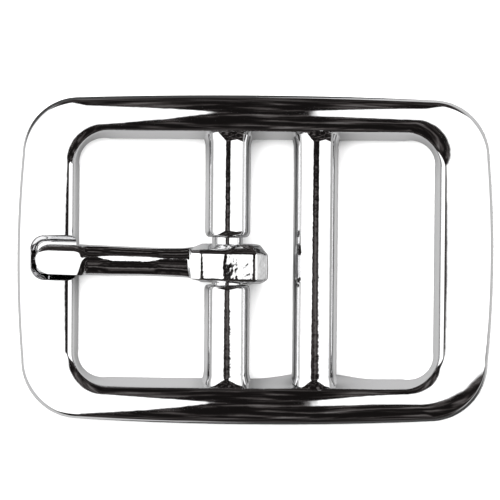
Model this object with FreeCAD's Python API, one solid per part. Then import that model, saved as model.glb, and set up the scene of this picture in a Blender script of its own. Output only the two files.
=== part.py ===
"""Belt buckle for a 30 mm dress belt: a bowed double-bar frame with a hinged tongue.

Own frame, millimetres: X runs along the belt (the tongue points to -X), Y runs across it
and Z comes out of the face. The buckle lies on its back on the plane z = 0, and the origin
is the middle of its footprint.
"""
import FreeCAD, Part
import math
import os

from FreeCAD import Vector

# Frame, seen from the face
LENGTH = 60.0               # overall, along the belt
WIDTH = 40.7                # overall, across the belt
END_BOW = 0.6               # how far each end rail bulges past its corners
OUTER_CORNER = 7.2          # corner radius of the outline
OPENING_LEFT = -23.1        # opening at the face, tongue end
OPENING_RIGHT = 23.3        # opening at the face, belt end
OPENING_HALF_WIDTH = 16.0   # opening at the face, across the belt
INNER_CORNER = 4.4          # corner radius of the opening at the face
DRAFT_INSET = 0.9           # the opening narrows by this from face to back: 30.2 mm clear
DRAFT_DEPTH = 3.4           # depth of the drafted wall; an upright strip is left behind it

# Frame, seen from the side
CROWN_HEIGHT = 7.7          # top of the bow above the resting plane
BOW_RADIUS = 90.0           # bow of the face along the belt
ARCH_HEIGHT = 2.7           # hollow under the middle of the frame
ARCH_HALF_LENGTH = 25.0     # the two ends beyond this rest flat
OUTER_EDGE = 0.8            # edge roundings
INNER_EDGE = 0.3
BACK_EDGE = 0.4

# Bars
BAR_Z = 4.1                 # axis height of both bars
TONGUE_BAR_X = -3.5
KEEPER_BAR_X = 7.5
TONGUE_BAR_RADIUS = 2.85
KEEPER_BAR_RADIUS = 2.80
SEAT_RADIUS = 1.92          # waist that the tongue turns on
SEAT_TOP = 2.77             # the waist's two ends along Y
SEAT_BOTTOM = -3.20
SHOULDER_ROUND_TOP = 0.7    # rounding of the barrel ends beside the waist
SHOULDER_ROUND_BOTTOM = 0.5
BAR_END_Y = 18.4            # the bars' rounded ends pass under the long rails
BAR_END_ROUND = 2.5
WEB_HEIGHT = 0.8            # web on the lower rail's wall at the keeper bar's root
WEB_HALF_LENGTH = 8.0
WEB_BOTTOM_Z = 2.8
WEB_TOP_Z = 5.0

# Tongue: reaches and heights of the hub are from the hinge axis
TONGUE_Y = -0.5             # the tongue stands near the lower end of its seat
HINGE_CLEARANCE = 0.05      # radial
HUB_WIDTH = 4.9
HUB_TOP_WIDTH = 3.2
HUB_TOP_SHIFT = -0.33       # the flat top stands this far toward the lower rail
HUB_BEVEL_DEPTH = 1.3
HUB_REACH = 5.1             # to the end of the hub, away from the tip
HUB_BACK_REACH = 3.4        # to the heel of the hook, toward the tip
HUB_TOP_HEIGHT = 3.85
HUB_BOTTOM_HEIGHT = 3.3
HUB_TOP_FALL = 0.5          # the flat top falls this much toward the tip
HUB_FACET_X = -6.6          # the flat top turns down to the shaft here
NOSE_CHAMFER = 1.3          # bevel that turns the hub's top down to its nose
NOSE_CORNER = 0.6
HOOK_ROUND = 2.4
HEEL_ROUND = 1.1
HOOK_GAP = 0.25             # slit where the hook closes under the bar
HOOK_GAP_ANGLE = 25.0       # degrees below level, toward the tip
NECK_LENGTH = 1.2           # the shaft widens to the hub over this and the facet
SHAFT_START_X = -8.2
SHAFT_START_Z = 7.0
SHAFT_WIDTH = 3.8
SHAFT_THICKNESS = 2.5
SHAFT_ARCH = 0.35
TIP_BEND_X = -21.6
TIP_BEND_Z = 4.75
TIP_ARCH = 0.15
TIP_END_X = -27.6
TIP_THICKNESS = 1.3
TIP_CORNER = 1.75
TIP_ROUND = 0.7

# Rest for the tip in the tongue-end rail
NOTCH_WIDTH = 5.7
NOTCH_END_X = -28.4
NOTCH_CORNER = 1.9
NOTCH_FLOOR_Z = 2.3         # floor height at the opening's edge
NOTCH_SLOPE = 9.0           # degrees, falling toward the rail's outer edge
REST_GAP = 0.05             # between the resting tip and the floor

# Working values for the geometry kernel
ALONG_Y = Vector(0, 1, 0)
BIG = 200.0                 # reaches well past the whole part
SPARE = 2.0                 # how far cutters and blanks pass the surfaces they trim
NEAR = 1e-6                 # closer than this counts as the same place
NEAR_SIZE = 1e-3            # allowance on sizes read from bounding boxes


def cylinder_along_y(radius, x, z, start=-BIG / 2, length=BIG):
    """Cylinder along Y whose seam is underneath."""
    cylinder = Part.makeCylinder(radius, length, Vector(x, start, z), ALONG_Y)
    seam = cylinder.Faces[0].valueAt(0, 0)
    turn = math.degrees(math.atan2(seam.x - x, z - seam.z))
    cylinder.rotate(Vector(x, 0, z), ALONG_Y, turn)
    return cylinder


def outline_prism():
    """Rounded rectangle with gently bulging ends, standing on z = 0."""
    end_x = LENGTH / 2 - END_BOW
    side_y = WIDTH / 2
    corners = [Vector(end_x, -side_y, 0), Vector(end_x, side_y, 0),
               Vector(-end_x, side_y, 0), Vector(-end_x, -side_y, 0)]
    edges = [Part.Arc(corners[0], Vector(LENGTH / 2, 0, 0), corners[1]).toShape(),
             Part.makeLine(corners[1], corners[2]),
             Part.Arc(corners[2], Vector(-LENGTH / 2, 0, 0), corners[3]).toShape(),
             Part.makeLine(corners[3], corners[0])]
    prism = Part.Face(Part.Wire(edges)).extrude(Vector(0, 0, CROWN_HEIGHT + SPARE))
    return prism.makeFillet(OUTER_CORNER, upright_edges(prism))


def upright_edges(shape):
    """Straight edges that run along Z."""
    found = []
    for edge in shape.Edges:
        ends = [vertex.Point for vertex in edge.Vertexes]
        if len(ends) == 2 and abs(abs(ends[0].z - ends[1].z) - edge.Length) < NEAR:
            found.append(edge)
    return found


def opening_prism(inset):
    """The opening's outline moved inward by inset, as an upright prism through the frame."""
    left = OPENING_LEFT + inset
    right = OPENING_RIGHT - inset
    half_y = OPENING_HALF_WIDTH - inset
    box = Part.makeBox(right - left, 2 * half_y, BIG, Vector(left, -half_y, -BIG / 2))
    return box.makeFillet(INNER_CORNER - inset, upright_edges(box))


def bowed_slab():
    """Bowed face above, arched back below, flat at the two ends."""
    face = cylinder_along_y(BOW_RADIUS, 0, CROWN_HEIGHT - BOW_RADIUS)
    arch_radius = (ARCH_HALF_LENGTH ** 2 + ARCH_HEIGHT ** 2) / (2 * ARCH_HEIGHT)
    arch = cylinder_along_y(arch_radius, 0, ARCH_HEIGHT - arch_radius)
    return outline_prism().common(face).cut(arch)


def notch_cutter():
    """Round-ended pocket for the tip, open toward the opening, with a sloping floor."""
    mouth_x = OPENING_LEFT + DRAFT_INSET + SPARE
    box = Part.makeBox(mouth_x - NOTCH_END_X, NOTCH_WIDTH, CROWN_HEIGHT,
                       Vector(NOTCH_END_X, -NOTCH_WIDTH / 2, NOTCH_FLOOR_Z))
    end_edges = [edge for edge in upright_edges(box) if abs(edge.Vertexes[0].X - NOTCH_END_X) < NEAR]
    cutter = box.makeFillet(NOTCH_CORNER, end_edges)
    cutter.rotate(Vector(OPENING_LEFT, 0, NOTCH_FLOOR_Z), ALONG_Y, -NOTCH_SLOPE)
    return cutter


def bow_face(shape):
    """The bowed face of the frame."""
    for face in shape.Faces:
        surface = face.Surface
        if surface.TypeId == "Part::GeomCylinder" and abs(surface.Radius - BOW_RADIUS) < NEAR:
            return face


def rim(shape, outer):
    """Outer or inner edges of the bowed face."""
    wires = sorted(bow_face(shape).Wires, key=lambda wire: wire.BoundBox.XLength)
    return wires[-1].Edges if outer else wires[0].Edges


def back_edges(shape):
    """Edges where the upright walls meet the arched back and its two flat ends."""
    nearly_level = 0.9
    back = [face for face in shape.Faces
            if face.valueAt(*middle_parameters(face)).z < ARCH_HEIGHT + NEAR
            and abs(face.normalAt(*middle_parameters(face)).z) > nearly_level]
    found = []
    for face in back:
        for edge in face.Edges:
            owners = [mate for mate in back if any(edge.isSame(other) for other in mate.Edges)]
            if len(owners) == 1:
                found.append(edge)
    return found


def middle_parameters(face):
    u_first, u_last, v_first, v_last = face.ParameterRange
    return (u_first + u_last) / 2, (v_first + v_last) / 2


def root_web():
    """Low lens-shaped web on the lower rail's wall, at the keeper bar's root."""
    wall_y = DRAFT_INSET - OPENING_HALF_WIDTH
    radius = (WEB_HALF_LENGTH ** 2 + WEB_HEIGHT ** 2) / (2 * WEB_HEIGHT)
    lens = Part.makeCylinder(radius, WEB_TOP_Z - WEB_BOTTOM_Z,
                             Vector(KEEPER_BAR_X, wall_y + WEB_HEIGHT - radius, WEB_BOTTOM_Z))
    block = Part.makeBox(2 * WEB_HALF_LENGTH, 2 * WEB_HEIGHT, CROWN_HEIGHT,
                         Vector(KEEPER_BAR_X - WEB_HALF_LENGTH, wall_y - WEB_HEIGHT, 0))
    return lens.common(block)


def frame():
    """The bowed ring: drafted opening, rounded edges, rest for the tongue's tip."""
    ring = bowed_slab().cut(opening_prism(DRAFT_INSET))
    ring = ring.makeFillet(BACK_EDGE, back_edges(ring))
    ring = ring.makeChamfer(DRAFT_INSET, DRAFT_DEPTH, rim(ring, outer=False))
    ring = ring.makeFillet(OUTER_EDGE, rim(ring, outer=True))
    ring = ring.makeFillet(INNER_EDGE, rim(ring, outer=False))
    return ring.fuse(root_web()).cut(notch_cutter())


def turned(points, x):
    """Solid of revolution about a bar's axis, from its half section as (radius, y) points."""
    outline = Part.makePolygon([Vector(x + radius, y, BAR_Z) for radius, y in points + points[:1]])
    return Part.Face(outline).revolve(Vector(x, 0, BAR_Z), ALONG_Y, 360)


def circles_at(shape, y, radius):
    """Round edges of a turned solid at this place along Y."""
    return [edge for edge in shape.Edges
            if abs(edge.BoundBox.YMin - y) < NEAR_SIZE and abs(edge.BoundBox.YMax - y) < NEAR_SIZE
            and abs(edge.BoundBox.XLength - 2 * radius) < NEAR_SIZE]


def tongue_bar(ring):
    """Bar with a waist for the tongue."""
    bar = turned([(0, -BAR_END_Y), (TONGUE_BAR_RADIUS, -BAR_END_Y),
                  (TONGUE_BAR_RADIUS, SEAT_BOTTOM), (SEAT_RADIUS, SEAT_BOTTOM),
                  (SEAT_RADIUS, SEAT_TOP), (TONGUE_BAR_RADIUS, SEAT_TOP),
                  (TONGUE_BAR_RADIUS, BAR_END_Y), (0, BAR_END_Y)], TONGUE_BAR_X)
    bar = bar.makeFillet(SHOULDER_ROUND_TOP, circles_at(bar, SEAT_TOP, TONGUE_BAR_RADIUS))
    bar = bar.makeFillet(SHOULDER_ROUND_BOTTOM, circles_at(bar, SEAT_BOTTOM, TONGUE_BAR_RADIUS))
    return set_into_rails(bar, TONGUE_BAR_RADIUS, ring)


def keeper_bar(ring):
    """Plain round bar."""
    bar = turned([(0, -BAR_END_Y), (KEEPER_BAR_RADIUS, -BAR_END_Y),
                  (KEEPER_BAR_RADIUS, BAR_END_Y), (0, BAR_END_Y)], KEEPER_BAR_X)
    return set_into_rails(bar, KEEPER_BAR_RADIUS, ring)


def set_into_rails(bar, radius, ring):
    """The bar with rounded ends under the long rails, trimmed to fit against them."""
    for end_y in (-BAR_END_Y, BAR_END_Y):
        bar = bar.makeFillet(BAR_END_ROUND, circles_at(bar, end_y, radius))
    pieces = bar.cut(ring).Solids
    return max(pieces, key=lambda piece: piece.Volume)


def notch_floor_z(x):
    return NOTCH_FLOOR_Z + (x - OPENING_LEFT) * math.tan(math.radians(NOTCH_SLOPE))


def point(x, z):
    return Vector(x, 0, z)


def arch(start, end, rise):
    """Arc from start to end, its middle raised above the chord."""
    return Part.Arc(start, (start + end) * 0.5 + Vector(0, 0, rise), end).toShape()


def tongue_side():
    """Side view of the tongue, clockwise from the facet between shaft and hub."""
    top_z = BAR_Z + HUB_TOP_HEIGHT
    bottom_z = BAR_Z - HUB_BOTTOM_HEIGHT
    nose_x = TONGUE_BAR_X + HUB_REACH
    heel_x = TONGUE_BAR_X - HUB_BACK_REACH
    facet = point(HUB_FACET_X, top_z - HUB_TOP_FALL)
    nose_top = point(nose_x, top_z)
    nose_bottom = point(nose_x, bottom_z)
    heel_bottom = point(heel_x, bottom_z)
    heel_top = point(heel_x, SHAFT_START_Z - SHAFT_THICKNESS)
    bend_under = point(TIP_BEND_X, notch_floor_z(TIP_BEND_X) + REST_GAP)
    tip_under = point(TIP_END_X, notch_floor_z(TIP_END_X) + REST_GAP)
    tip_top = point(TIP_END_X, tip_under.z + TIP_THICKNESS)
    bend_top = point(TIP_BEND_X, TIP_BEND_Z)
    shaft_start = point(SHAFT_START_X, SHAFT_START_Z)
    edges = [Part.makeLine(facet, nose_top),
             Part.makeLine(nose_top, nose_bottom),
             Part.makeLine(nose_bottom, heel_bottom),
             Part.makeLine(heel_bottom, heel_top),
             arch(heel_top, bend_under, SHAFT_ARCH),
             Part.makeLine(bend_under, tip_under),
             Part.makeLine(tip_under, tip_top),
             arch(tip_top, bend_top, TIP_ARCH),
             arch(bend_top, shaft_start, SHAFT_ARCH),
             Part.makeLine(shaft_start, facet)]
    side = Part.Face(Part.Wire(edges)).extrude(Vector(0, HUB_WIDTH, 0))
    side.translate(Vector(0, TONGUE_Y - HUB_WIDTH / 2, 0))
    for corner, radius in ((nose_bottom, HOOK_ROUND), (heel_bottom, HEEL_ROUND),
                           (tip_top, TIP_ROUND)):
        side = side.makeFillet(radius, edges_along_y(side, corner))
    return side.makeChamfer(NOSE_CHAMFER, edges_along_y(side, nose_top))


def edges_along_y(shape, corner):
    """The edge that runs along Y through a corner of the side view."""
    return [edge for edge in shape.Edges
            if all(abs(vertex.X - corner.x) < NEAR and abs(vertex.Z - corner.z) < NEAR
                   for vertex in edge.Vertexes)]


def tongue_plan():
    """Face view of the tongue: wide hub, tapering neck, slim shaft, rounded tip."""
    hub_half = HUB_WIDTH / 2
    shaft_half = SHAFT_WIDTH / 2
    neck_x = SHAFT_START_X - NECK_LENGTH
    nose_x = TONGUE_BAR_X + HUB_REACH
    upper = [(TIP_END_X, shaft_half), (neck_x, shaft_half), (HUB_FACET_X, hub_half), (nose_x, hub_half)]
    lower = [(x, -y) for x, y in reversed(upper)]
    corners = [Vector(x, TONGUE_Y + y, 0) for x, y in upper + lower + upper[:1]]
    plan = Part.Face(Part.makePolygon(corners)).extrude(Vector(0, 0, 2 * CROWN_HEIGHT))
    tip_edges = [edge for edge in upright_edges(plan) if abs(edge.Vertexes[0].X - TIP_END_X) < NEAR]
    nose_edges = [edge for edge in upright_edges(plan) if abs(edge.Vertexes[0].X - nose_x) < NEAR]
    return plan.makeFillet(TIP_CORNER, tip_edges).makeFillet(NOSE_CORNER, nose_edges)


def hub_bevel(side):
    """Wedge taken off one long top edge of the hub."""
    top_z = BAR_Z + HUB_TOP_HEIGHT
    top_y = TONGUE_Y + HUB_TOP_SHIFT + side * HUB_TOP_WIDTH / 2
    side_y = TONGUE_Y + side * HUB_WIDTH / 2
    past_y = 2 * side_y - top_y
    corners = [Vector(HUB_FACET_X, top_y, top_z),
               Vector(HUB_FACET_X, past_y, top_z - 2 * HUB_BEVEL_DEPTH),
               Vector(HUB_FACET_X, past_y, top_z + SPARE),
               Vector(HUB_FACET_X, top_y, top_z + SPARE)]
    return Part.Face(Part.makePolygon(corners + corners[:1])).extrude(Vector(2 * HUB_REACH, 0, 0))


def tongue():
    """Prong whose open hook is closed round the tongue bar's seat."""
    body = tongue_side().common(tongue_plan())
    body = body.cut(hub_bevel(1)).cut(hub_bevel(-1))
    body = body.cut(cylinder_along_y(SEAT_RADIUS + HINGE_CLEARANCE, TONGUE_BAR_X, BAR_Z))
    slit = Part.makeBox(2 * HUB_REACH, HUB_WIDTH, HOOK_GAP,
                        Vector(TONGUE_BAR_X - 2 * HUB_REACH, TONGUE_Y - HUB_WIDTH / 2, BAR_Z))
    slit.rotate(Vector(TONGUE_BAR_X, 0, BAR_Z), ALONG_Y, -HOOK_GAP_ANGLE)
    below_shaft = Part.makeBox(HUB_REACH, HUB_WIDTH, HUB_BOTTOM_HEIGHT,
                               Vector(TONGUE_BAR_X - HUB_REACH, TONGUE_Y - HUB_WIDTH / 2,
                                      BAR_Z - HUB_BOTTOM_HEIGHT))
    return body.cut(slit.common(below_shaft))


def save(name, shape):
    """Write a piece that must be one sound solid."""
    solid = shape.Solids[0]
    if len(shape.Solids) != 1 or not solid.isValid():
        raise ValueError(name + " is not one valid solid")
    solid.exportStep(os.path.join("parts", name + ".step"))


os.makedirs("parts", exist_ok=True)
ring = frame()
save("frame", ring)
save("tongue_bar", tongue_bar(ring))
save("keeper_bar", keeper_bar(ring))
save("tongue", tongue())
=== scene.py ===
"""Bright-plated double-bar belt buckle on a pale floor, seen from straight above its face."""

import math

import bpy
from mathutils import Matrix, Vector, noise


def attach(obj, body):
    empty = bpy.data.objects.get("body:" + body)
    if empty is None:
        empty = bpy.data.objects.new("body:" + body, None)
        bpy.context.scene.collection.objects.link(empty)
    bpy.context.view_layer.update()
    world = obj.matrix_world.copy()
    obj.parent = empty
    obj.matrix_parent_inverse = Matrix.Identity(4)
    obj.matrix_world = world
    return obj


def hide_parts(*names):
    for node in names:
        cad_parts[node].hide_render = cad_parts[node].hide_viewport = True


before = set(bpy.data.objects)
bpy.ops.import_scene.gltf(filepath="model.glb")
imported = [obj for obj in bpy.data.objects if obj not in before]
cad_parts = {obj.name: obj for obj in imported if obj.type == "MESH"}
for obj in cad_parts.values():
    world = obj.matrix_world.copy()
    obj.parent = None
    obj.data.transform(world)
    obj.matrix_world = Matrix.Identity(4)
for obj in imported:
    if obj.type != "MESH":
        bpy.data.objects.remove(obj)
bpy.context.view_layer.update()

MM = 0.001

# ---------------------------------------------------------------- sizes, in millimetres
# Frame, seen from the face.
LENGTH = 60.0
WIDTH = 41.0
END_BOW = 0.6               # how far each end rail bulges past its corners
LONG_BOW = 0.35             # the same of each long rail
OUTER_CORNER = 7.2
OPENING_LEFT = -22.75
OPENING_RIGHT = 23.05
OPENING_HALF_WIDTH = 16.0
INNER_CORNER = 4.4
LONG_RAIL_DRAFT = 1.0       # how far the inner wall leans into the opening by its foot
END_RAIL_DRAFT = 0.5
CORNER_DRAFT_LOSS = 0.3     # how much less it leans in the middle of a corner
DRAFT_DEPTH = 3.4

# Frame, seen from the side and in section.
CROWN_HEIGHT = 7.7
BOW_RADIUS = 90.0           # bow of the face along the belt
LONG_RAIL_DOME = 9.5        # radius of the dome across a rail
END_RAIL_DOME = 11.5
CORNER_DOME = 2.0           # added to the dome's radius in the middle of a corner
ARCH_HEIGHT = 2.7
ARCH_HALF_LENGTH = 25.0
OUTER_EDGE = 0.8            # edge roundings
END_OUTER_EDGE = 0.45
INNER_EDGE = 0.30
END_INNER_REACH = 0.72      # the end rails' inner edges turn over this far across the face
END_INNER_DEPTH = 1.0       # and this far down the wall
BACK_EDGE = 0.4

# Bars.
BAR_Z = 4.1
TONGUE_BAR_X = -3.5
KEEPER_BAR_X = 7.5
TONGUE_BAR_RADIUS = 2.85
KEEPER_BAR_RADIUS = 2.80
SEAT_RADIUS = 1.92
SEAT_TOP = 2.77
SEAT_BOTTOM = -3.20
BAR_END_Y = 18.4
WEB_HEIGHT = 0.8
WEB_HALF_LENGTH = 8.0

# Tongue.
TONGUE_Y = -0.5
TONGUE_SKEW = math.radians(0.8)
TIP_END_X = -27.6
TIP_ROUND_X = -25.75
TIP_BEND_X = -21.6
TIP_GAP = 0.06
SHAFT_START_X = -8.3
SHAFT_HALF_WIDTH = 1.8
HUB_FACET_X = -6.8
HUB_HALF_WIDTH = 2.45
HUB_CREST_Z = 7.86
SLIT_TOP_Z = 2.66           # mouth of the slit where the hook closes under the bar
HOOK_TIP_Z = 2.4
HINGE_CLEARANCE = 0.05      # radial
NOSE_X = 1.6
HOOK_Z = 0.8
HOOK_ROUND = 2.4
HEEL_X = -6.9
HEEL_TOP_Z = 4.5
HEEL_ROUND = 1.1
# Slope of the tongue's top line in degrees, falling toward the tip, at places along X.
CROWN_GRADE = ((-27.6, 19), (-22.7, 19), (-21.5, 2), (-19.9, 2), (-18.0, 9.5), (-13.2, 9.5),
               (-11.4, 3), (-8.45, 3), (-8.15, 16), (-6.95, 16), (-6.85, 3.2), (-6.55, 3.2),
               (-6.45, 6.0), (-4.4, 6.0), (-3.6, 3.7), (-2.8, 5.3), (-0.3, 5.5), (-0.2, 3.5),
               (0.15, -6))

# Rest for the tip in the tongue-end rail.
NOTCH_HALF_WIDTH = 2.85
NOTCH_END_X = -28.4
NOTCH_CORNER = 1.9
NOTCH_MOUTH_X = -23.1
NOTCH_FLOOR_Z = 2.3         # floor height at the mouth
NOTCH_SLOPE = math.tan(math.radians(9.0))


# ---------------------------------------------------------------- small helpers
def clamp(value, low=0.0, high=1.0):
    return max(low, min(high, value))


def smooth(value):
    """Eases 0 to 1."""
    t = clamp(value)
    return t * t * (3 - 2 * t)


def bump(x, centre, half_width):
    """1 at the centre, easing to 0 at half_width away."""
    return 0.5 + 0.5 * math.cos(math.pi * clamp(abs(x - centre) / half_width))


def soft_min(a, b, blend):
    """Lower of two heights, the corner between them rounded over this much."""
    share = clamp(0.5 + 0.5 * (b - a) / blend)
    return b + (a - b) * share - blend * share * (1 - share)


def lerp(a, b, share):
    return a + (b - a) * share


def spread(count):
    """count + 1 even steps from 0 to 1."""
    return [step / count for step in range(count + 1)]


def mesh_object(name, points, faces, body, slot_name, material, *nodes):
    """A smooth piece from points in millimetres that stands for CAD nodes."""
    mesh = bpy.data.meshes.new(name)
    mesh.from_pydata([tuple(c * MM for c in p) for p in points], [], faces)
    mesh.validate()
    mesh.polygons.foreach_set("use_smooth", [True] * len(mesh.polygons))
    mesh.materials.append(material)
    piece = bpy.data.objects.new(name, mesh)
    bpy.context.scene.collection.objects.link(piece)
    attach(piece, body)
    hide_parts(*nodes)
    return piece


def grid_faces(rows, columns, close_rows, close_columns):
    """Quads of a grid of points stored row by row."""
    faces = []
    for row in range(rows if close_rows else rows - 1):
        for column in range(columns if close_columns else columns - 1):
            next_row = (row + 1) % rows
            next_column = (column + 1) % columns
            faces.append((row * columns + column, row * columns + next_column,
                          next_row * columns + next_column, next_row * columns + column))
    return faces


# ---------------------------------------------------------------- frame ring
def face_z(x):
    return CROWN_HEIGHT - BOW_RADIUS + math.sqrt(BOW_RADIUS ** 2 - x ** 2)


def back_z(x):
    """Arched underside that ends in two flats on the floor."""
    radius = (ARCH_HALF_LENGTH ** 2 + ARCH_HEIGHT ** 2) / (2 * ARCH_HEIGHT)
    return max(0.0, ARCH_HEIGHT - radius + math.sqrt(radius ** 2 - x ** 2))


def notch_floor_z(x):
    """Sloping floor of the rest, falling toward the rail's outer edge."""
    return NOTCH_FLOOR_Z + (x - NOTCH_MOUTH_X) * NOTCH_SLOPE


def notch_height(x, y):
    """Floor of the tip's rest, rising in a hollow curve to its rim."""
    rim_run = 1.0
    rim_rise = 2.6
    hollow = 2.3
    highest = 3.0
    centre_x = NOTCH_END_X + NOTCH_CORNER
    past_x = max(0.0, centre_x - x)
    past_y = max(0.0, abs(y) - (NOTCH_HALF_WIDTH - NOTCH_CORNER))
    outside = math.hypot(past_x, past_y) - NOTCH_CORNER
    climb = clamp((outside + rim_run) / rim_run, 0.0, highest)
    return notch_floor_z(x) + rim_rise * climb ** hollow


def wall_inset(inner, outward, depth_share):
    """How far the drafted wall stands inside the face's inner edge at this share of its depth."""
    web_start = 0.4 / 1.4
    web = WEB_HEIGHT * bump(inner.x, KEEPER_BAR_X, WEB_HALF_LENGTH) if inner.y < 0 else 0.0
    draft = lerp(LONG_RAIL_DRAFT, END_RAIL_DRAFT, outward.x ** 2)
    draft -= CORNER_DRAFT_LOSS * diagonal(outward)
    return draft * depth_share + web * smooth((depth_share - web_start) / (1 - web_start))


def diagonal(outward):
    """1 in the middle of a corner, 0 along the rails."""
    return 2 * abs(outward.x * outward.y)


def crest_shift(inner):
    """The crest of one long rail drifts toward the opening, as hand polishing left it."""
    drift = 0.4
    start_x, start_run = 6.0, 9.0
    end_x, end_run = 23.0, 4.0
    if inner.y > 0:
        return 0.0
    return drift * smooth((inner.x - start_x) / start_run) * smooth((end_x - inner.x) / end_run)


def corner_station(sign_x, sign_y, angle):
    """Outer and inner outline points of one corner, with the outward direction."""
    outward = Vector((sign_x * math.cos(angle), sign_y * math.sin(angle)))
    outer_centre = Vector((sign_x * (LENGTH / 2 - END_BOW - OUTER_CORNER),
                           sign_y * (WIDTH / 2 - LONG_BOW - OUTER_CORNER)))
    opening_x = OPENING_RIGHT if sign_x > 0 else -OPENING_LEFT
    inner_centre = Vector((sign_x * (opening_x - INNER_CORNER),
                           sign_y * (OPENING_HALF_WIDTH - INNER_CORNER)))
    return outer_centre + outward * OUTER_CORNER, inner_centre + outward * INNER_CORNER, outward


def rail_shares(start, end):
    """Shares along a rail, strictly inside it, closely spaced beside the notch."""
    step = 0.4
    if start[0].x < 0 and end[0].x < 0:
        fine_step = 0.05
        fine_reach = 4.0
        last_gap = 0.06
        y_start, y_end = start[0].y, end[0].y
        shares = []
        y = y_start
        while y > y_end + last_gap:
            shares.append((y_start - y) / (y_start - y_end))
            y -= fine_step if abs(y) < fine_reach else step
        return shares[1:]
    count = round((start[0] - end[0]).length / step)
    return spread(count)[1:-1]


def rail_stations(start, end):
    """Stations along one bulging rail, between two corners."""
    stations = []
    for share in rail_shares(start, end):
        outer = start[0].lerp(end[0], share)
        inner = start[1].lerp(end[1], share)
        bulge = 1 - (2 * share - 1) ** 2
        if abs(start[2].x) > 0.5:
            outer.x += math.copysign(END_BOW * bulge, outer.x)
        else:
            outer.y += math.copysign(LONG_BOW * bulge, outer.y)
        stations.append((outer, inner, start[2].copy()))
    return stations


def ring_stations():
    """Stations round the ring, counter-clockwise: outer point, inner point, outward direction."""
    corner_steps = 44
    corners = []
    for sign_x, sign_y, falling in ((1, 1, False), (-1, 1, True), (-1, -1, False), (1, -1, True)):
        angles = [math.pi / 2 * share for share in spread(corner_steps)]
        if falling:
            angles.reverse()
        corners.append([corner_station(sign_x, sign_y, angle) for angle in angles])
    stations = []
    for index, corner in enumerate(corners):
        following = corners[(index + 1) % 4]
        stations += corner
        stations += rail_stations(corner[-1], following[0])
    return stations


def rounded(before, corner, after, reach_before, reach_after, count):
    """Points of a round blend across a corner of a section, in (distance, height)."""
    start = corner + (before - corner).normalized() * reach_before
    end = corner + (after - corner).normalized() * reach_after
    turn = (corner - start).angle(end - corner)
    weight = math.cos(turn / 2)
    points = []
    for t in spread(count):
        a, b, c = (1 - t) ** 2, 2 * t * (1 - t) * weight, t * t
        points.append((start * a + corner * b + end * c) / (a + b + c))
    return points


def rail_section(outer, inner, outward):
    """Section of the rail as (distance from the outer edge, height) points, all the way round."""
    breadth = (outer - inner).length
    dome_change_x, dome_change_run = 12.0, 10.0
    toward_end = smooth((abs(inner.x) - dome_change_x) / dome_change_run)
    dome_radius = lerp(LONG_RAIL_DOME, END_RAIL_DOME, toward_end)
    dome_radius += CORNER_DOME * diagonal(outward)
    crest = breadth / 2 + crest_shift(inner)

    def dome(share):
        bow = face_z(lerp(outer.x, inner.x, share))
        return Vector((share * breadth, bow - (share * breadth - crest) ** 2 / 2 / dome_radius))

    outer_back = Vector((0, back_z(outer.x)))
    outer_top = dome(0)
    inner_top = dome(1)
    wall_reach = wall_inset(inner, outward, 1.0)
    depth = inner_top.y - max(inner_top.y - DRAFT_DEPTH, back_z(inner.x) + BACK_EDGE)
    inner_low = Vector((breadth + wall_reach, inner_top.y - depth))
    inner_back = Vector((breadth + wall_reach, back_z(inner.x)))

    along_x = outward.x ** 2
    outer_reach = lerp(OUTER_EDGE, END_OUTER_EDGE, along_x ** 3)
    inner_reach = lerp(INNER_EDGE, END_INNER_REACH, along_x ** 4)
    first = outer_reach / breadth
    last = 1 - inner_reach / breadth
    dome_start, dome_end = dome(first), dome(last)
    points = rounded(Vector((1, outer_back.y)), outer_back, outer_top, BACK_EDGE, BACK_EDGE, 6)
    points += rounded(outer_back, outer_top, dome_start, outer_reach,
                      (dome_start - outer_top).length, 12)
    points += [dome(lerp(first, last, share)) for share in spread(110)[1:-1]]
    wall_corner = rounded(dome_end, inner_top, inner_low, (dome_end - inner_top).length,
                          lerp(INNER_EDGE, END_INNER_DEPTH, along_x ** 4), 24)
    points += wall_corner
    wall_start = wall_corner[-1]
    for share in spread(30)[1:]:
        height = lerp(wall_start.y, inner_low.y, share)
        depth_share = (inner_top.y - height) / depth
        points.append(Vector((breadth + wall_inset(inner, outward, depth_share), height)))
    points += rounded(inner_low, inner_back, Vector((0, inner_back.y)),
                      0.9 * BACK_EDGE, BACK_EDGE, 6)
    under = spread(14)[1:-1]
    points += [Vector((lerp(points[-1].x, BACK_EDGE, share), 0)) for share in under]
    return points, len(points) - len(under)


def build_frame(material):
    """The ring as one closed surface, its rest for the tip pressed into the tongue-end rail."""
    near_x = OPENING_LEFT + 3
    near_y = NOTCH_HALF_WIDTH + 1.5
    rim_blend = 0.35
    stations = ring_stations()
    points = []
    columns = 0
    for outer, inner, outward in stations:
        section, under_from = rail_section(outer, inner, outward)
        columns = len(section)
        across = (inner - outer).normalized()
        breadth = (outer - inner).length
        for index, (distance, height) in enumerate(section):
            if distance <= breadth:
                place = outer + across * distance
            else:
                place = inner - outward * (distance - breadth)
            if index >= under_from:
                height = back_z(place.x)
            elif place.x < near_x and abs(place.y) < near_y:
                height = soft_min(height, notch_height(place.x, place.y), rim_blend)
            points.append((place.x, place.y, height))
    faces = grid_faces(len(stations), columns, True, True)
    return mesh_object("frame_ring", points, faces, "frame", "frame_plating", material, "frame")


# ---------------------------------------------------------------- bars
def wall_y(x, z):
    """Distance of a long rail's drafted wall from the middle line, at this place."""
    dome_fall = 0.25
    top = face_z(x) - dome_fall
    return OPENING_HALF_WIDTH - LONG_RAIL_DRAFT * clamp((top - z) / DRAFT_DEPTH)


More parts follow.
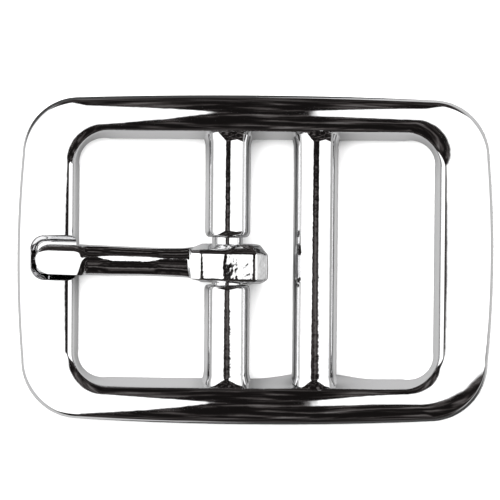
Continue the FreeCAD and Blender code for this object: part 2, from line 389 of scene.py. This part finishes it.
def root_flare(x, y, z):
    """Extra radius where a bar runs into a rail: a shallow hollow flare."""
    flare_length = 1.1
    flare_rise = 0.2
    gap = wall_y(x, z) - abs(y)
    most = 1.2
    fade = 0.8
    near = clamp(1 - gap / flare_length, 0.0, most)
    above_back = smooth((z - back_z(x)) / fade)
    return flare_rise * near * near * above_back


def seat_profile(y):
    """Radius of the tongue bar along its length."""
    round_top = 0.85
    round_bottom = 0.6
    cut = 0.65
    if y >= SEAT_TOP:
        return TONGUE_BAR_RADIUS - cut * shoulder(y - SEAT_TOP, round_top)
    if y <= SEAT_BOTTOM:
        return TONGUE_BAR_RADIUS - cut * shoulder(SEAT_BOTTOM - y, round_bottom)
    return SEAT_RADIUS


def shoulder(distance, radius):
    """How much a rounded shoulder is cut back at this distance from its end."""
    inside = clamp(1 - distance / radius)
    return radius * (1 - math.sqrt(1 - inside * inside))


def bar_rows(special):
    """Places along a bar: fine at its ends and at special places."""
    step, fine_step = 0.3, 0.06
    end_reach, special_reach = 4.0, 1.0
    hair = 0.0005
    rows = []
    y = -BAR_END_Y
    while y < BAR_END_Y:
        rows.append(y)
        near_end = BAR_END_Y - abs(y) < end_reach
        near_special = any(abs(y - place) < special_reach for place in special)
        y += fine_step if near_end or near_special else step
    rows.append(BAR_END_Y)
    for place in special:
        rows += [place - hair, place + hair]
    return sorted(rows)


def build_bar(name, node, x, radius_at, worn, special, slot_name, material):
    """Round bar with flared roots, a crown worn a little flat and rounded hidden ends."""
    around = 240
    worn_reach = math.radians(25)
    end_round = 2.6
    full_radius = radius_at(BAR_END_Y)
    points = []
    rows = bar_rows(special)
    for y in rows:
        cut_back = shoulder(BAR_END_Y - abs(y), end_round)
        for step in range(around):
            angle = 2 * math.pi * (step / around - 0.5)
            side, up = math.sin(angle), math.cos(angle)
            radius = radius_at(y) - cut_back - worn * bump(angle, 0, worn_reach)
            radius += root_flare(x, y, BAR_Z + full_radius * up)
            points.append((x + radius * side, y, BAR_Z + radius * up))
    faces = grid_faces(len(rows), around, False, True)
    last = (len(rows) - 1) * around
    faces.append(tuple(range(around)))
    faces.append(tuple(last + step for step in reversed(range(around))))
    return mesh_object(name, points, faces, "frame", slot_name, material, node)


# ---------------------------------------------------------------- tongue
def line_points(start, end, count):
    return [start.lerp(end, share) for share in spread(count)]


def arch_points(start, end, rise, count):
    """A shallow arch between two points."""
    points = []
    for share in spread(count):
        place = start.lerp(end, share)
        points.append(place + Vector((0, 4 * rise * share * (1 - share))))
    return points


def bore_points(first, last, count):
    """Points round the hinge bore, angles in degrees from +X."""
    radius = SEAT_RADIUS + HINGE_CLEARANCE
    points = []
    for share in spread(count):
        angle = math.radians(lerp(first, last, share))
        points.append(Vector((TONGUE_BAR_X + radius * math.cos(angle),
                              BAR_Z + radius * math.sin(angle))))
    return points


def soften(points, passes, closed):
    """Rounds the corners of a finely stepped line by averaging neighbours."""
    for _ in range(passes):
        moved = []
        last = len(points) - 1
        for index, place in enumerate(points):
            if not closed and index in (0, last):
                moved.append(place)
                continue
            moved.append((points[index - 1] + place * 2 + points[(index + 1) % len(points)]) / 4)
        points = moved
    return points


def crown_line():
    """Top of the tongue from the nose crease to the tip, stepped from its slopes."""
    step = 0.02
    place = Vector((CROWN_GRADE[-1][0], HUB_CREST_Z))
    line = [place.copy()]
    stretches = list(zip(CROWN_GRADE, CROWN_GRADE[1:]))
    for (far_x, far_slope), (near_x, near_slope) in reversed(stretches):
        count = max(2, round((near_x - far_x) / step))
        for share in spread(count)[1:]:
            slope = math.radians(lerp(near_slope, far_slope, share))
            run = (near_x - far_x) / count
            place = place + Vector((-run, -run * math.tan(slope)))
            line.append(place.copy())
    line.reverse()
    return line


def crown_points(line, start_x, end_x, count):
    """Evenly spaced points of the top line between two places."""
    points = []
    index = 0
    for share in spread(count):
        x = lerp(start_x, end_x, share)
        while index < len(line) - 2 and line[index + 1].x < x:
            index += 1
        near, far = line[index], line[index + 1]
        points.append(near.lerp(far, clamp((x - near.x) / (far.x - near.x))))
    return points


def tongue_rails():
    """Side view of the tongue as two matching lines, tip to hook end: inside and outside."""
    crown = crown_line()
    crest_x = CROWN_GRADE[-1][0]
    tip_foot = Vector((TIP_END_X, notch_floor_z(TIP_END_X) + TIP_GAP))
    bend_foot = Vector((TIP_BEND_X, notch_floor_z(TIP_BEND_X) + TIP_GAP))
    shaft_foot = Vector((HEEL_X - 0.7, HEEL_TOP_Z + 0.12))
    heel_top = Vector((HEEL_X, HEEL_TOP_Z))
    slit_top = Vector((HEEL_X, SLIT_TOP_Z))
    bevel_end = Vector((NOSE_X - 0.22, crown[-1].y - 1.04))
    nose_top = Vector((NOSE_X, 5.9))
    nose_low = Vector((NOSE_X, HOOK_Z + HOOK_ROUND))
    under = Vector((NOSE_X - HOOK_ROUND, HOOK_Z))
    heel_under = Vector((HEEL_X + HEEL_ROUND, HOOK_Z))
    heel_low = Vector((HEEL_X, HOOK_Z + HEEL_ROUND))
    hook_tip = Vector((HEEL_X, HOOK_TIP_Z))

    def top(start_x, end_x, count):
        return crown_points(crown, start_x, end_x, count)

    segments = [
        (line_points(tip_foot, bend_foot, 90), top(TIP_END_X, TIP_BEND_X, 90)),
        (arch_points(bend_foot, shaft_foot, 0.2, 160), top(TIP_BEND_X, SHAFT_START_X, 160)),
        (line_points(shaft_foot, heel_top, 30), top(SHAFT_START_X, HUB_FACET_X, 30)),
        (line_points(heel_top, slit_top, 16), top(HUB_FACET_X, -5.6, 16)),
        (line_points(slit_top, bore_points(202, 202, 1)[0], 12), top(-5.6, -4.8, 12)),
        (bore_points(202, 66, 60), top(-4.8, crest_x, 60)),
        (bore_points(66, 34, 26), line_points(crown[-1], bevel_end, 26)),
        (bore_points(34, 24, 10),
         rounded(bevel_end, Vector((NOSE_X, 6.62)), nose_top, 0.3, 0.72, 10)),
        (bore_points(24, -20, 16), line_points(nose_top, nose_low, 16)),
        (bore_points(-20, -70, 18), rounded(nose_low, Vector((NOSE_X, HOOK_Z)), under,
                                            HOOK_ROUND, HOOK_ROUND, 18)),
        (bore_points(-70, -120, 12), line_points(under, heel_under, 12)),
        (bore_points(-120, -150, 12), rounded(heel_under, Vector((HEEL_X, HOOK_Z)), heel_low,
                                              HEEL_ROUND, HEEL_ROUND, 12)),
        (bore_points(-150, -151.5, 3), line_points(heel_low, hook_tip, 3)),
    ]
    inside, outside = [], []
    for inner, outer in segments:
        start = 1 if inside else 0
        inside += inner[start:]
        outside += outer[start:]
    return inside, soften(outside, 2, False)


def half_width(x):
    """Half the tongue's breadth at its foot: slim in the middle of the shaft, wide at the hub."""
    waist = 0.12
    waist_x, waist_reach = -13.5, 7.0
    neck_x, neck_run = -9.6, 3.9
    shaft = SHAFT_HALF_WIDTH + waist - waist * bump(x, waist_x, waist_reach)
    breadth = lerp(shaft, HUB_HALF_WIDTH, smooth((x - neck_x) / neck_run))
    if x < TIP_ROUND_X:
        past = clamp((TIP_ROUND_X - x) / (TIP_ROUND_X - TIP_END_X), 0, 0.9999)
        return breadth * math.sqrt(1 - past * past)
    return breadth


def zoned(shaft, tip, hub, in_tip, in_hub):
    """A value of the tongue's section, eased between its three zones."""
    return lerp(lerp(shaft, tip, in_tip), hub, in_hub)


def half_section(inner, outer, side):
    """One side of the section across the tongue, crest to foot, as (sideways, depth) points.

    The crown runs from the crest to the rim, the rim turns over, and the flank falls to the foot.
    """
    x = outer.x
    foot = half_width(x)
    thickness = (outer - inner).length
    tip_zone_x, hub_zone_x, hub_zone_run = -20.9, -8.45, 0.5
    zones = smooth(tip_zone_x - x), smooth((x - hub_zone_x) / hub_zone_run)
    narrow = foot / half_width(TIP_ROUND_X) if x < TIP_ROUND_X else 1.0
    crest = zoned(0.42, -0.12 * narrow, -0.33, *zones)
    reach = foot - side * crest
    tip_share = lerp(0.965, 0.56, 0.5 + 0.5 * side)
    hub_share = 1.58 * (1 - 0.12 * smooth((x - 0.8) / 0.8)) / reach
    crown = reach * zoned(0.86, tip_share, hub_share, *zones)
    tip_dome = 7.4
    crown_drop = zoned(0.36 * crown, crown * crown / 2 / tip_dome * narrow, 0.012, *zones)
    rim = crown + (reach - crown) * zoned(0.6, 0.93, 0.42, *zones)
    rim_drop = crown_drop + (rim - crown) * zoned(1.5, 0.65, 0.75, *zones)
    nose_zone = smooth((x + 0.4) / 0.9)
    foot_depth = min(thickness - 0.12, lerp(3.0, 1.1, nose_zone))
    rim_fall, flank_spread = 1.6, 0.8
    points = [(crown * share, crown_drop * share ** 2.0) for share in spread(26)]
    points += [(lerp(crown, rim, share), lerp(crown_drop, rim_drop, share ** rim_fall))
               for share in spread(8)[1:]]
    rim_drop = min(rim_drop, foot_depth - 0.05)
    points += [(lerp(rim, reach, share ** flank_spread), lerp(rim_drop, foot_depth, share))
               for share in spread(14)[1:]]
    points.append((reach, lerp(foot_depth, thickness, 0.6)))
    points += [((reach - 0.1) * share, thickness) for share in (1.0, 0.66, 0.33)]
    return [Vector((crest + side * across, depth)) for across, depth in points]


def hub_wear(x, y, depth):
    """Shallow dents rubbed into the flat on top of the hub."""
    dent_depth = 0.017
    flat_x, flat_reach = -3.2, 2.9
    broad = noise.noise(Vector((x * 1.15, y * 0.55, 3.7)))
    fine = noise.noise(Vector((x * 2.6, y * 1.3, 8.1)))
    on_flat = bump(x, flat_x, flat_reach) * clamp(1 - depth / 0.4)
    return dent_depth * (broad + 0.5 * fine) * on_flat


def build_tongue(material):
    """The prong as one closed surface swept from its tip round the hook."""
    inside, outside = tongue_rails()
    points = []
    columns = 0
    for inner, outer in zip(inside, outside):
        inward = (inner - outer).normalized()
        far_side = half_section(inner, outer, 1)
        near_side = half_section(inner, outer, -1)
        section = soften(far_side + near_side[:0:-1], 2, True)
        columns = len(section)
        for side, depth in section:
            place = outer + inward * (depth + hub_wear(outer.x, side, depth))
            points.append((place.x, TONGUE_Y + side, place.y))
    faces = grid_faces(len(inside), columns, False, True)
    last = (len(inside) - 1) * columns
    faces.append(tuple(reversed(range(columns))))
    faces.append(tuple(last + step for step in range(columns)))
    skew = math.tan(TONGUE_SKEW)
    points = [(x, y - (x - TONGUE_BAR_X) * skew, z) for x, y, z in points]
    return mesh_object("tongue_prong", points, faces, "tongue", "tongue_plating", material,
                       "tongue")


# ---------------------------------------------------------------- look
def chrome(name, ripple, grain, seed):
    """Bright plating with a faint hand-polished ripple, its depth in millimetres."""
    tint = (0.86, 0.86, 0.865)
    material = bpy.data.materials.new(name)
    material.use_nodes = True
    nodes = material.node_tree.nodes
    links = material.node_tree.links
    shader = nodes["Principled BSDF"]
    shader.inputs["Base Color"].default_value = (*tint, 1)
    shader.inputs["Metallic"].default_value = 1.0
    shader.inputs["Roughness"].default_value = 0.045
    place = nodes.new("ShaderNodeTexCoord")
    wave = nodes.new("ShaderNodeTexNoise")
    wave.noise_dimensions = "4D"
    wave.inputs["W"].default_value = seed
    wave.inputs["Scale"].default_value = grain
    wave.inputs["Detail"].default_value = 2.0
    lift = nodes.new("ShaderNodeBump")
    lift.inputs["Strength"].default_value = 1.0
    lift.inputs["Distance"].default_value = ripple * MM
    links.new(place.outputs["Object"], wave.inputs["Vector"])
    links.new(wave.outputs["Fac"], lift.inputs["Height"])
    links.new(lift.outputs["Normal"], shader.inputs["Normal"])
    return material


def math_node(nodes, links, operation, first, second=None, third=None):
    node = nodes.new("ShaderNodeMath")
    node.operation = operation
    for socket, value in zip(node.inputs, (first, second, third)):
        if value is None:
            continue
        if isinstance(value, (int, float)):
            socket.default_value = value
        else:
            links.new(value, socket)
    return node.outputs[0]


def ramp_node(nodes, links, value, low, high):
    """Eases from 0 at low to 1 at high."""
    step = nodes.new("ShaderNodeMapRange")
    step.interpolation_type = "SMOOTHSTEP"
    step.inputs["From Min"].default_value = low
    step.inputs["From Max"].default_value = high
    links.new(value, step.inputs["Value"])
    return step.outputs["Result"]


def floor_material():
    """Pale and even to the eye; painted reflection where polished metal mirrors it, darker there.

    The painted reflection is grey near the belt's line and nearly black beyond the long rails,
    but for the ground past two opposite corners.
    """
    pale = (0.93, 0.93, 0.93, 1)
    # Painted reflection colours: only mirrored rays see these grey and black shades, the camera
    # sees pale.
    grey = (0.24, 0.24, 0.24, 1)
    black = (0.03, 0.03, 0.03, 1)
    rail_start, rail_end = 0.0155, 0.019
    corner_start, corner_end = 0.00042, 0.00052
    material = bpy.data.materials.new("floor")
    material.use_nodes = True
    nodes = material.node_tree.nodes
    links = material.node_tree.links
    seen = nodes.new("ShaderNodeLightPath")
    shade = nodes.new("ShaderNodeMix")
    shade.data_type = "RGBA"
    shade.inputs["B"].default_value = pale
    shader = nodes["Principled BSDF"]
    shader.inputs["Roughness"].default_value = 1.0
    shader.inputs["Specular IOR Level"].default_value = 0.0
    place = nodes.new("ShaderNodeTexCoord")
    split = nodes.new("ShaderNodeSeparateXYZ")
    links.new(place.outputs["Object"], split.inputs[0])
    across = math_node(nodes, links, "ABSOLUTE", split.outputs["Y"])
    beyond = ramp_node(nodes, links, across, rail_start, rail_end)
    product = math_node(nodes, links, "MULTIPLY", split.outputs["X"], split.outputs["Y"])
    past_corner = ramp_node(nodes, links, product, corner_start, corner_end)
    unlit = math_node(nodes, links, "SUBTRACT", 1.0, past_corner)
    dark = math_node(nodes, links, "MULTIPLY", beyond, unlit)
    # Painted reflection: grey near the belt's line, black beyond the long rails, shown only to
    # mirrored rays.
    painted_reflection = nodes.new("ShaderNodeMix")
    painted_reflection.data_type = "RGBA"
    painted_reflection.inputs["A"].default_value = grey
    painted_reflection.inputs["B"].default_value = black
    links.new(dark, painted_reflection.inputs["Factor"])
    links.new(painted_reflection.outputs["Result"], shade.inputs["A"])
    links.new(seen.outputs["Is Camera Ray"], shade.inputs["Factor"])
    links.new(shade.outputs["Result"], shader.inputs["Base Color"])
    return material


def build_floor():
    half = 3.0
    gap = 0.00002
    mesh = bpy.data.meshes.new("floor")
    mesh.from_pydata([(-half, -half, 0), (half, -half, 0), (half, half, 0), (-half, half, 0)],
                     [], [(0, 1, 2, 3)])
    mesh.materials.append(floor_material())
    floor = bpy.data.objects.new("floor", mesh)
    bpy.context.scene.collection.objects.link(floor)
    floor.location.z = -gap


def build_world():
    """Light tent: bright cloth to the left and right, dark room at the front, back and lens.

    Each cloth is a wedge seen from the part; -X is the left cloth's side, +X the right one's.
    """
    cloth_strength = 1.45
    warm = (1.0, 0.86, 0.84, 1)
    world = bpy.data.worlds.new("light_tent")
    bpy.context.scene.world = world
    world.use_nodes = True
    nodes = world.node_tree.nodes
    links = world.node_tree.links
    place = nodes.new("ShaderNodeTexCoord")
    split = nodes.new("ShaderNodeSeparateXYZ")
    links.new(place.outputs["Generated"], split.inputs[0])

    def node(operation, first, second=None, third=None):
        return math_node(nodes, links, operation, first, second, third)

    def ramp(value, low, high):
        return ramp_node(nodes, links, value, low, high)

    across = split.outputs["X"]
    along = split.outputs["Y"]
    lens_centre = 0.02

    def edge(slope_across, slope_along, offset=0.0):
        """Distance inside a straight edge of a cloth; without an offset it meets the zenith."""
        slant = node("MULTIPLY_ADD", across, slope_across, node("MULTIPLY", along, slope_along))
        return node("ADD", slant, offset)

    left_cloth = node("MINIMUM", edge(-0.74, -1.0, -0.045), edge(-1.35, 1.0, -0.19))
    right_near = node("MINIMUM", edge(0.25, 1.0), edge(-0.37, 1.0, 0.44))
    right_cloth = node("MINIMUM", edge(0.58, -1.0), right_near)
    beside = ramp(node("MAXIMUM", left_cloth, right_cloth), -0.008, 0.022)
    off_axis = ramp(node("ABSOLUTE", node("SUBTRACT", across, lens_centre)), 0.135, 0.185)
    above = ramp(split.outputs["Z"], 0.10, 0.28)
    cloth = node("MULTIPLY", node("MULTIPLY", beside, off_axis), above)
    sideways = node("SUBTRACT", node("ABSOLUTE", across), node("ABSOLUTE", along))
    low_glow = node("MULTIPLY_ADD", ramp(sideways, -0.15, 0.25), 0.40, 0.03)
    horizon = node("MULTIPLY", node("SUBTRACT", 1.0, above), low_glow)
    bright = node("ADD", node("MULTIPLY", cloth, cloth_strength), horizon)
    stretched = nodes.new("ShaderNodeMapping")
    stretched.inputs["Scale"].default_value = (4.5, 11.0, 0.0)
    links.new(place.outputs["Generated"], stretched.inputs["Vector"])
    folds = nodes.new("ShaderNodeTexNoise")
    folds.inputs["Scale"].default_value = 1.0
    folds.inputs["Detail"].default_value = 2.0
    links.new(stretched.outputs["Vector"], folds.inputs["Vector"])
    glow = node("MULTIPLY_ADD", ramp(folds.outputs["Fac"], 0.47, 0.80), 0.20, 0.008)
    bright = node("ADD", bright, glow)

    seen = nodes.new("ShaderNodeLightPath")
    mix = nodes.new("ShaderNodeMix")
    mix.data_type = "FLOAT"
    mix.inputs["B"].default_value = 1.0
    links.new(seen.outputs["Is Camera Ray"], mix.inputs["Factor"])
    links.new(bright, mix.inputs["A"])
    links.new(mix.outputs["Result"], nodes["Background"].inputs["Strength"])
    tone = nodes.new("ShaderNodeMix")
    tone.data_type = "RGBA"
    tone.inputs["A"].default_value = warm
    tone.inputs["B"].default_value = (1, 1, 1, 1)
    links.new(node("MULTIPLY", mix.outputs["Result"], 4.0), tone.inputs["Factor"])
    links.new(tone.outputs["Result"], nodes["Background"].inputs["Color"])


def build_light():
    """Soft panel overhead that lights the floor and isn't mirrored in the metal."""
    lamp = bpy.data.lights.new("softbox", "AREA")
    lamp.shape = "SQUARE"
    lamp.size = 1.2
    lamp.energy = 31.0
    softbox = bpy.data.objects.new("softbox", lamp)
    bpy.context.scene.collection.objects.link(softbox)
    softbox.location = (-0.15, 0.25, 0.9)
    softbox.rotation_euler = (-softbox.location).to_track_quat("-Z", "Y").to_euler()
    softbox.visible_glossy = False


def build_camera():
    """Looks straight down on the face, with the tongue pointing left."""
    distance = 0.42
    tilt = math.radians(1.5)
    roll = math.radians(0.5)
    view_width = 0.06265
    camera = bpy.data.cameras.new("camera")
    camera.sensor_width = 36.0
    camera.lens = camera.sensor_width * distance / view_width
    eye = bpy.data.objects.new("camera", camera)
    bpy.context.scene.collection.objects.link(eye)
    target = Vector((-0.00076, 0.00118, 0.004))
    eye.location = target + Vector((0, math.sin(tilt), math.cos(tilt))) * distance
    eye.rotation_euler = (-tilt, 0, roll)
    bpy.context.scene.camera = eye


build_frame(chrome("frame_plating", ripple=0.010, grain=420.0, seed=1.0))
build_bar("tongue_bar_turned", "tongue_bar", TONGUE_BAR_X, seat_profile, 0.028,
          (SEAT_TOP, SEAT_BOTTOM), "tongue_bar_plating",
          chrome("tongue_bar_plating", ripple=0.012, grain=900.0, seed=5.0))
build_bar("keeper_bar_turned", "keeper_bar", KEEPER_BAR_X, lambda y: KEEPER_BAR_RADIUS, 0.05,
          (), "keeper_bar_plating",
          chrome("keeper_bar_plating", ripple=0.012, grain=900.0, seed=9.0))
build_tongue(chrome("tongue_plating", ripple=0.012, grain=1100.0, seed=13.0))

build_floor()
build_world()
build_light()
build_camera()
bpy.context.scene.view_settings.view_transform = "Standard"
